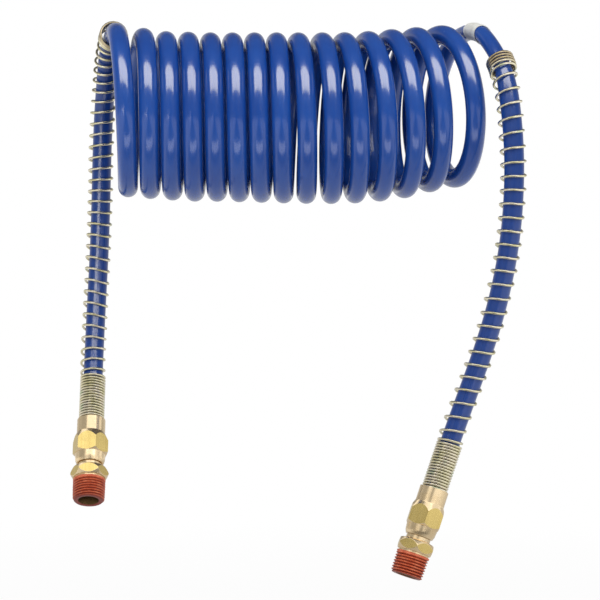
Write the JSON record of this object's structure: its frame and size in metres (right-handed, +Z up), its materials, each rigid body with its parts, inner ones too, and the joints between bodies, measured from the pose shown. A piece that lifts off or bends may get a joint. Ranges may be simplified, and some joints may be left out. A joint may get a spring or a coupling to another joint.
{
  "type": "coiled air hose",
  "caption": "Self-retracting coiled nylon air hose with spring-guarded leads and a brass swivel pipe-thread fitting on each end.",
  "frame": {"origin": "the inside top of the coil at its middle, where a bar or hook carries it", "axes": "+X along the coil towards its fanned end, +Z up, -Y towards the viewer of the picture"},
  "size_m": [0.2942, 0.137, 0.3526],
  "materials": {
    "hose_nylon": "glossy blue nylon",
    "guard_wire": "yellow zinc-plated spring wire",
    "brass": "bright turned brass",
    "seal_rubber": "black nitrile rubber",
    "ring_steel": "plain spring steel",
    "marker_tape": "white vinyl tape",
    "thread_sealant": "dry red-orange thread sealant"
  },
  "bodies": {
    "hung_end": {"coil": "hose_nylon", "left_lead": "hose_nylon", "left_spring_guard": "guard_wire", "left_hose_socket": "brass", "left_tube_insert": "brass", "left_retaining_ring": "ring_steel"},
    "pulled_end": {"right_lead": "hose_nylon", "marker_band": "marker_tape", "right_spring_guard": "guard_wire", "right_hose_socket": "brass", "right_tube_insert": "brass", "right_retaining_ring": "ring_steel"},
    "left_swivel": {"left_swivel_stub": "brass", "left_swivel_seal": "seal_rubber"},
    "right_swivel": {"right_swivel_stub": "brass", "right_swivel_seal": "seal_rubber"}
  },
  "joints": [
    {"name": "coil_stretch", "type": "slide", "parent": "hung_end", "child": "pulled_end", "axis": [1, 0, 0], "range_m": [0, 0.9], "stiffness_N_per_m": 27, "deforming": ["coil"]},
    {"name": "left_swivel_turn", "type": "hinge", "parent": "hung_end", "child": "left_swivel", "pos_m": [-0.13106, 0.02274, -0.26341], "axis": [0.0011, 0.468, 0.8837], "continuous": true},
    {"name": "right_swivel_turn", "type": "hinge", "parent": "pulled_end", "child": "right_swivel", "pos_m": [0.08332, -0.05044, -0.30496], "axis": [0.3168, 0.1514, 0.9363], "continuous": true}
  ]
}
